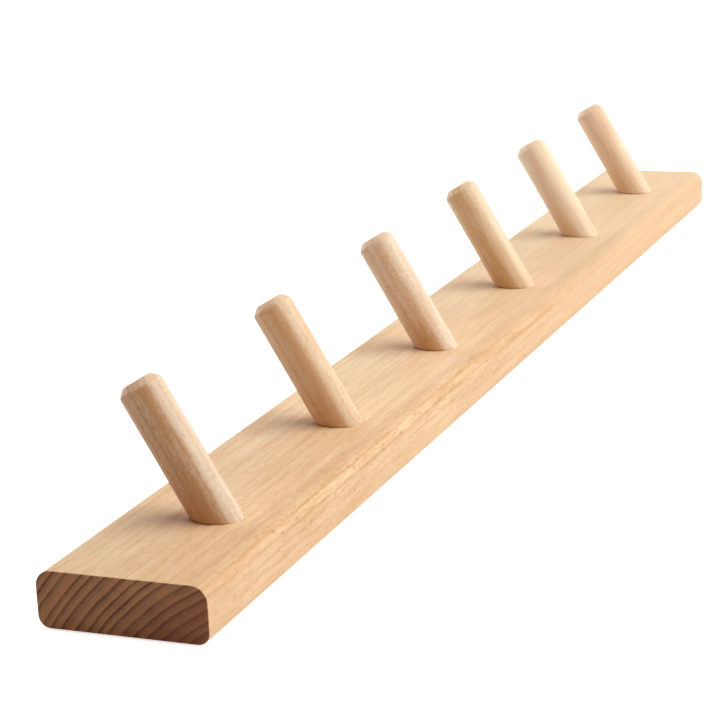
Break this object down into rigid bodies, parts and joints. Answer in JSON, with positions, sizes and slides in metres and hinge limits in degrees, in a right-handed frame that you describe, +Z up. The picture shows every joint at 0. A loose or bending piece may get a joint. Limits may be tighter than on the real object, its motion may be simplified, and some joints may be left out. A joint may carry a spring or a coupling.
{
  "type": "wall hook rack",
  "caption": "Wooden wall rack: a long rounded board with a row of round pegs slanting upwards, hung from flush keyhole plates let into its back.",
  "frame": {"origin": "middle of the back face, where the rack meets the wall", "axes": "+X along the board, +Z up the wall, +Y into the wall, so the pegs point to -Y"},
  "size_m": [0.67, 0.0679, 0.06],
  "materials": {
    "board_wood": "oiled beech",
    "peg_wood": "oiled beech dowel",
    "plated_steel": "zinc plated"
  },
  "bodies": {
    "root": {"board": "board_wood", "peg_1": "peg_wood", "peg_2": "peg_wood", "peg_3": "peg_wood", "peg_4": "peg_wood", "peg_5": "peg_wood", "peg_6": "peg_wood", "hanger_plate_left": "plated_steel", "hanger_plate_right": "plated_steel", "plate_screw_left_upper": "plated_steel", "plate_screw_left_lower": "plated_steel", "plate_screw_right_upper": "plated_steel", "plate_screw_right_lower": "plated_steel"}
  },
  "joints": []
}
